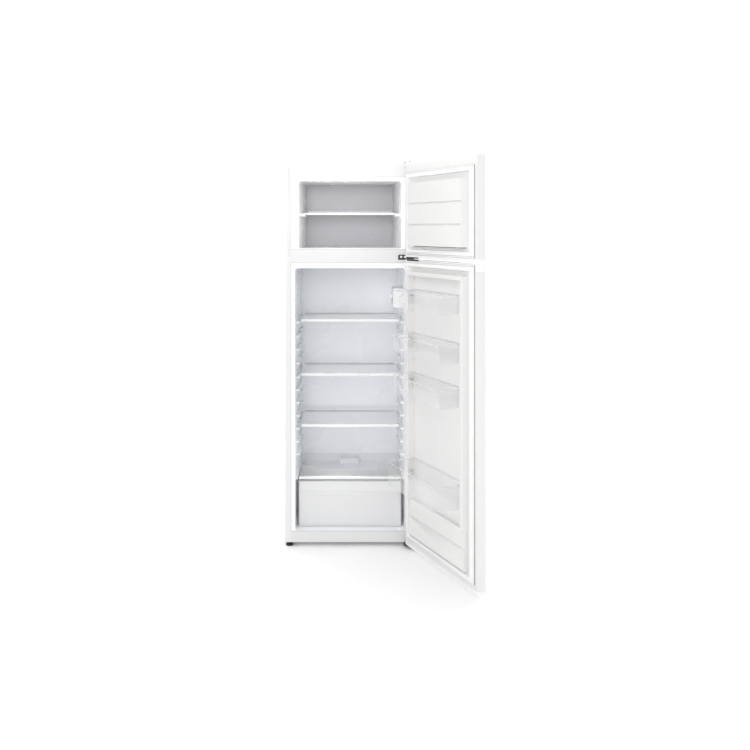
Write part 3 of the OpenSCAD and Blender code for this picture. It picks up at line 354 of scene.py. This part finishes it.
def finishPiece(piece, body, slotName, *replaced):
    if not piece.data.materials:
        piece.data.materials.append(finishes[slotName])
    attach(piece, body)
    if replaced:
        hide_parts(*replaced)


# Door pieces are modelled on the closed door, then swung about the hinge axis
hinge = (0.254, -0.032, 0)
doorOpen = math.radians(114)


def swing(piece):
    startEdit(piece)
    bpy.ops.mesh.select_all(action="SELECT")
    bpy.ops.transform.rotate(value=-doorOpen, orient_axis="Z", orient_type="GLOBAL",
                             center_override=hinge)
    bpy.ops.object.mode_set(mode="OBJECT")


# A copy with its own mesh, lifted from the piece that it repeats
def copyPiece(piece, name, lift):
    twin = piece.copy()
    twin.data = piece.data.copy()
    twin.name = name
    bpy.context.collection.objects.link(twin)
    startEdit(twin)
    bpy.ops.mesh.select_all(action="SELECT")
    move(z=lift)
    bpy.ops.object.mode_set(mode="OBJECT")
    return twin


def paintFaces(piece, finish, test):
    piece.data.materials.append(finishes[finish])
    startEdit(piece)
    pick("FACE", test)
    piece.active_material_index = len(piece.data.materials) - 1
    bpy.ops.object.material_slot_assign()
    bpy.ops.object.mode_set(mode="OBJECT")


# Door gaskets, with their outer side painted dark: painted shade for the shadow in the gap beside
# the gasket
gasketValues = {
    "halfWidth": 0.254,
    "doorBack": -0.012,
    "shadeBandWidth": 0.0008,
    "levels": {"fridge_door": (0.051, 1.189), "freezer_door": (1.215, 1.550)},
    # step inward, then step out from the door
    "profile": [(0.0004, 0.0022), (0.0012, 0.0008), (0.0022, 0.0), (0.0006, -0.0022),
                (0.0014, 0.0), (0.0006, 0.0062), (0.0006, 0.0030), (0.0012, 0.0012),
                (0.0118, 0.0), (0.0012, -0.0012), (0.0006, -0.0030), (0.0006, -0.0062),
                (0.0014, 0.0), (0.0006, 0.0022), (0.0022, 0.0), (0.0012, -0.0008),
                (0.0004, -0.0022)],
}


# Paints the gasket's outer side and ends dark grey as painted shade
def paintGasketShade(piece, low, high):
    dark = gasketValues["shadeBandWidth"]
    edge = gasketValues["halfWidth"] - dark
    paintFaces(piece, "gasket_side", lambda spot, normal: abs(spot.x) > edge
               or spot.z < low + dark or spot.z > high - dark)


def makeGasket(name, low, high):
    values = gasketValues
    middle = (low + high) / 2
    bpy.ops.object.select_all(action="DESELECT")
    bpy.ops.mesh.primitive_plane_add(size=1, location=(0, values["doorBack"], middle),
                                     rotation=(-math.pi / 2, 0, 0))
    bpy.context.object.scale = (2 * values["halfWidth"], high - low, 1)
    piece = named(name)
    startEdit(piece)
    pick("FACE", lambda spot, normal: True)
    for inward, out in values["profile"]:
        bpy.ops.mesh.inset(thickness=inward, use_even_offset=True)
        move(y=out)
    bpy.ops.mesh.delete(type="FACE")
    bpy.ops.mesh.select_mode(type="EDGE")
    bpy.ops.mesh.select_all(action="DESELECT")
    bpy.ops.mesh.select_non_manifold()
    bpy.ops.mesh.bridge_edge_loops()
    endEdit(50)
    piece.data.materials.append(finishes["gasket"])
    paintGasketShade(piece, low, high)
    swing(piece)
    return piece


for door, (low, high) in gasketValues["levels"].items():
    finishPiece(makeGasket(door + "_seal", low, high), door, "gasket", door + "_gasket")
print("gaskets modelled")

# Door bins
binValues = {
    "half": 0.1895,
    "back": -0.0115,
    "front": 0.093,
    "bottleFront": 0.114,
    "height": 0.070,
    "bottleHeight": 0.095,
    "wall": 0.0024,
    "corner": 0.014,
    "rimHeight": 0.005,
    "rimOut": 0.0012,
    "heights": {"bin_upper": 1.007, "bin_middle": 0.830, "bin_lower": 0.670},
    "bottleZ": 0.301,
    "backCorner": 0.003,
    "footRound": 0.0018,
    "rimRound": 0.0005,
    "rimStart": 0.012,
    "hookBack": -0.004,
    "hookFront": 0.008,
    "hookLift": 0.0405,
    "hookHeight": 0.008,
    "hookTuck": 0.0005,
    "hookOut": 0.004,
    "hookRound": 0.0008,
}


def makeBin(name, z, height, front):
    values = binValues
    half, back, wall = values["half"], values["back"], values["wall"]
    top = z + height
    piece = addBox(name, (-half, back, z), (half, front, top))
    startEdit(piece)
    pick("EDGE", lambda spot, way: abs(way.z) > along and spot.y > 0)
    bpy.ops.mesh.bevel(offset=values["corner"], segments=8)
    pick("EDGE", lambda spot, way: abs(way.z) > along and spot.y < back + 10 * skin)
    bpy.ops.mesh.bevel(offset=values["backCorner"], segments=3)
    pick("FACE", lambda spot, normal: normal.z > along)
    bpy.ops.mesh.inset(thickness=wall, use_even_offset=True)
    bpy.ops.mesh.extrude_region_move(TRANSFORM_OT_translate={"value": (0, 0, wall - height)})
    pick("EDGE", lambda spot, way: abs(way.z) < across
         and (spot.z < z + skin or abs(spot.z - z - wall) < skin))
    bpy.ops.mesh.bevel(offset=values["footRound"], segments=3)
    bisectAt((0, 0, top - values["rimHeight"]), (0, 0, 1))

    def rimFace(spot, normal):
        halfCorner = values["corner"] / 2
        outside = abs(spot.x) > half - halfCorner or spot.y > front - halfCorner
        facing = normal.y > 0.05 or (abs(normal.x) > along and normal.x * spot.x > 0)
        inRim = spot.z > top - values["rimHeight"] and spot.y > values["rimStart"]
        return inRim and abs(normal.z) < across and outside and facing

    pick("FACE", rimFace)
    bpy.ops.mesh.extrude_region_shrink_fatten(
        TRANSFORM_OT_shrink_fatten={"value": values["rimOut"]})
    pick("EDGE", lambda spot, way: spot.z > top - skin and abs(way.z) < across)
    bpy.ops.mesh.bevel(offset=values["rimRound"], segments=2)
    endEdit(40)
    hooks = []
    for side in (-1, 1):
        ends = sorted((side * (half - values["hookTuck"]), side * (half + values["hookOut"])))
        low = (ends[0], values["hookBack"], z + values["hookLift"])
        high = (ends[1], values["hookFront"], z + values["hookLift"] + values["hookHeight"])
        hook = addBox(name + "_hook", low, high)
        startEdit(hook)
        pick("EDGE", lambda spot, way: abs(way.x) < across and spot.x * side > half)
        bpy.ops.mesh.bevel(offset=values["hookRound"], segments=2)
        endEdit(40)
        hooks.append(hook)
    bpy.ops.object.select_all(action="DESELECT")
    for hook in hooks:
        hook.select_set(True)
    piece.select_set(True)
    bpy.context.view_layer.objects.active = piece
    bpy.ops.object.join()
    piece.data.materials.append(finishes["clear_plastic"])
    rimFoot = top - values["rimHeight"]
    paintFaces(piece, "clear_edge", lambda spot, normal: spot.z > rimFoot + 2 * skin)
    swing(piece)
    return piece


upperZ = binValues["heights"]["bin_upper"]
smallBins = {"bin_upper": makeBin("bin_upper_clear", upperZ, binValues["height"],
                                  binValues["front"])}
for binName in ("bin_middle", "bin_lower"):
    smallBins[binName] = copyPiece(smallBins["bin_upper"], binName + "_clear",
                                   binValues["heights"][binName] - upperZ)
for binName, smallBin in smallBins.items():
    finishPiece(smallBin, binName, "clear_plastic", binName)
bottleBin = makeBin("bottle_bin_clear", binValues["bottleZ"], binValues["bottleHeight"],
                    binValues["bottleFront"])
finishPiece(bottleBin, "bottle_bin", "clear_plastic", "bottle_bin")
print("bins modelled")

# Crisper drawer
drawerValues = {
    "half": 0.217,
    "front": 0.045,
    "back": 0.290,
    "low": 0.0665,
    "high": 0.2565,
    "wall": 0.0025,
    "corner": 0.010,
    "ridge": (0.2045, 0.2105),
    "ridgeHalf": 0.205,
    "ridgeOut": 0.007,
    "dipDepth": 0.022,
    "dipOuter": (-0.160, 0.150),
    "dipInner": (-0.130, 0.120),
    "footRound": 0.0035,
    "backDepth": 0.004,
}


def makeDrawer():
    values = drawerValues
    half, front, back, wall = values["half"], values["front"], values["back"], values["wall"]
    low, high = values["low"], values["high"]
    piece = addBox("crisper_drawer_clear", (-half, front, low), (half, back, high))
    startEdit(piece)
    pick("EDGE", lambda spot, way: abs(way.z) > along)
    bpy.ops.mesh.bevel(offset=values["corner"], segments=6)
    pick("FACE", lambda spot, normal: normal.z > along)
    bpy.ops.mesh.inset(thickness=wall, use_even_offset=True)
    bpy.ops.mesh.extrude_region_move(TRANSFORM_OT_translate={"value": (0, 0, wall - high + low)})
    pick("EDGE", lambda spot, way: abs(way.z) < across and spot.z < low + skin)
    bpy.ops.mesh.bevel(offset=values["footRound"], segments=3)
    for level in values["ridge"]:
        bisectAt((0, 0, level), (0, 0, 1))
    for side in (-1, 1):
        bisectAt((side * values["ridgeHalf"], 0, 0), (1, 0, 0))
    for place in values["dipOuter"] + values["dipInner"]:
        bisectAt((place, 0, 0), (1, 0, 0))
    ridgeLow, ridgeHigh = values["ridge"]
    pick("FACE", lambda spot, normal: normal.y < -along and spot.y < front + skin
         and ridgeLow < spot.z < ridgeHigh and abs(spot.x) < values["ridgeHalf"])
    bpy.ops.mesh.extrude_region_move(TRANSFORM_OT_translate={"value": (0, -values["ridgeOut"], 0)})
    left, right = values["dipInner"]
    pick("VERT", lambda spot, normal: spot.z > high - skin and spot.y > back - values["backDepth"]
         and left - skin < spot.x < right + skin)
    move(z=-values["dipDepth"])
    endEdit(40)
    piece.data.materials.append(finishes["drawer_plastic"])
    paintFaces(piece, "clear_edge", lambda spot, normal: spot.z > high - skin)
    return piece


finishPiece(makeDrawer(), "crisper_drawer", "clear_plastic", "crisper_drawer")
print("drawer modelled")

# Dark strips where the liners' flanges meet the steel: painted shadow for the thin shadow line of
# the joint
seamShadowValues = {
    "half": 0.245,
    "width": 0.0012,
    "proud": 0.0002,
    "frames": {"fridge_seam": (0.064, 1.178), "freezer_seam": (1.234, 1.535)},
}
for name, (low, high) in seamShadowValues["frames"].items():
    half, width, proud = seamShadowValues["half"], seamShadowValues["width"], seamShadowValues["proud"]
    bpy.ops.object.select_all(action="DESELECT")
    bpy.ops.mesh.primitive_plane_add(size=1, location=(0, proud, (low + high) / 2),
                                     rotation=(math.pi / 2, 0, 0))
    bpy.context.object.scale = (2 * half + width, high - low + width, 1)
    seam = named(name)
    startEdit(seam)
    bpy.ops.mesh.select_all(action="SELECT")
    bpy.ops.mesh.inset(thickness=width)
    bpy.ops.mesh.delete(type="FACE")
    bpy.ops.mesh.select_all(action="SELECT")
    bpy.ops.mesh.extrude_region_move(TRANSFORM_OT_translate={"value": (0, -2 * proud, 0)})
    endEdit(30)
    seam.data.materials.append(finishes["seam"])
    finishPiece(seam, "cabinet", "gasket")
print("seams modelled")

# Dark strip along the foot of the freezer door's raised panel: painted shadow under the panel's
# bottom edge
shadowStripValues = {
    "x": (-0.196, 0.196),
    "y": (-0.0122, -0.0106),
    "z": (1.2484, 1.2518),
    "bevel": 0.0006,
    "endInset": 0.0003,
    "endHeight": 0.8,
}


def makeShadowStrip():
    (left, right), (inside, outside), (low, high) = (shadowStripValues[key] for key in ("x", "y", "z"))
    strip = addBox("freezer_panel_shadow_strip", (left, inside, low), (right, outside, high))
    startEdit(strip)
    pick("EDGE", lambda spot, way: abs(way.x) > along and spot.y > outside - skin)
    bpy.ops.mesh.bevel(offset=shadowStripValues["bevel"], segments=2)
    pick("FACE", lambda spot, normal: abs(normal.x) > along)
    bpy.ops.mesh.inset(thickness=shadowStripValues["endInset"])
    middle = (low + high) / 2
    pick("FACE", lambda spot, normal: abs(normal.x) > along and abs(spot.z - middle) < skin)
    bpy.ops.transform.resize(value=(1, 1, shadowStripValues["endHeight"]))
    endEdit(40)
    strip.data.materials.append(finishes["gasket_side"])
    swing(strip)
    return strip


finishPiece(makeShadowStrip(), "freezer_door", "gasket")
print("recess line modelled")

# Stop plates at the facing corners of the doors
stopValues = {
    "x": (0.160, 0.262),
    "y": (-0.0125, -0.0112),
    "z": (1.1895, 1.1947),
    "nextUp": 0.0098,
    "corner": 0.0018,
    "border": 0.0008,
    "sunk": 0.0003,
}


def makeStop():
    (left, right), (inside, outside), (low, high) = (stopValues[key] for key in ("x", "y", "z"))
    plate = addBox("fridge_door_stop", (left, inside, low), (right, outside, high))
    startEdit(plate)
    pick("EDGE", lambda spot, way: abs(way.y) > along)
    bpy.ops.mesh.bevel(offset=stopValues["corner"], segments=3)
    pick("FACE", lambda spot, normal: normal.y > along)
    bpy.ops.mesh.inset(thickness=stopValues["border"])
    move(y=-stopValues["sunk"])
    endEdit(40)
    swing(plate)
    return plate


lowerStop = makeStop()
upperStop = copyPiece(lowerStop, "freezer_door_stop", stopValues["nextUp"])
finishPiece(lowerStop, "fridge_door", "hinge_steel")
finishPiece(upperStop, "freezer_door", "hinge_steel")
print("stops modelled")

# Floor and light
stageValues = {
    "floorSize": 40,
    "worldStrength": 0.78,
    "backdropY": 9,
    "floorGlow": 0.05,
    "backdropGlow": 1.0,
    "floorPaper": {"low": (0.96, 0.96, 0.96), "high": (0.97, 0.97, 0.97)},
    "backdropPaper": {"low": (0.9, 0.9, 0.9), "high": (0.92, 0.92, 0.92)},
    "paper": {"patch": 1.5, "grain": 90, "rough": (0.7, 0.8), "bump": (0.02, 0.0003)},
}
lightValues = {
    "high": {"kind": "AREA", "place": (-1.2, -3.0, 4.2), "aim": (0, 0.1, 1.0), "size": 2.5,
             "power": 32},
    "fill": {"kind": "AREA", "place": (-0.3, -4.5, 1.9), "aim": (0, 0.2, 1.3), "size": 1.6,
             "power": 36},
    "lamp_light": {"kind": "POINT", "place": (0.165, 0.300, 1.000), "size": 0.02, "power": 0.06,
                   "colour": (1.0, 0.98, 1.0)},
    "top": {"kind": "AREA", "place": (0.2, 1.3, 4.0), "aim": (0, 0, 0), "size": 2.5, "power": 24},
    "freezer_light": {"kind": "POINT", "place": (-0.05, -0.03, 1.385), "size": 0.05, "power": 0.30},
    "fridge_light": {"kind": "POINT", "place": (-0.05, 0.04, 0.35), "size": 0.05, "power": 0.40},
}
world = bpy.data.worlds.new("studio")
scene.world = world
world.use_nodes = True
world.node_tree.nodes["Background"].inputs["Color"].default_value = (1, 1, 1, 1)
world.node_tree.nodes["Background"].inputs["Strength"].default_value = stageValues["worldStrength"]


def addPaper(name, place, turn, shades, glow):
    bpy.ops.mesh.primitive_plane_add(size=stageValues["floorSize"], location=place, rotation=turn)
    sheet = bpy.context.object
    sheet.name = name
    paper = surface(name + "_paper", **shades, **stageValues["paper"])
    shader = paper.node_tree.nodes["Principled BSDF"]
    shader.inputs["Emission Color"].default_value = (1, 1, 1, 1)
    shader.inputs["Emission Strength"].default_value = glow
    sheet.data.materials.append(paper)


addPaper("floor", (0, 0, 0), (0, 0, 0), stageValues["floorPaper"], stageValues["floorGlow"])
addPaper("backdrop", (0, stageValues["backdropY"], 0), (math.pi / 2, 0, 0),
         stageValues["backdropPaper"], stageValues["backdropGlow"])


def addLight(name, kind, place, size, power, aim=None, colour=(1, 1, 1)):
    bpy.ops.object.light_add(type=kind, location=place)
    light = bpy.context.object
    light.name = name
    light.data.energy = power
    light.data.color = colour
    if kind == "AREA":
        light.data.shape = "DISK"
        light.data.size = size
        light.rotation_euler = (Vector(aim) - Vector(place)).to_track_quat("-Z", "Y").to_euler()
    else:
        light.data.shadow_soft_size = size
        light.visible_camera = False
        light.visible_glossy = False


for name, values in lightValues.items():
    addLight(name, **values)
print("stage set")
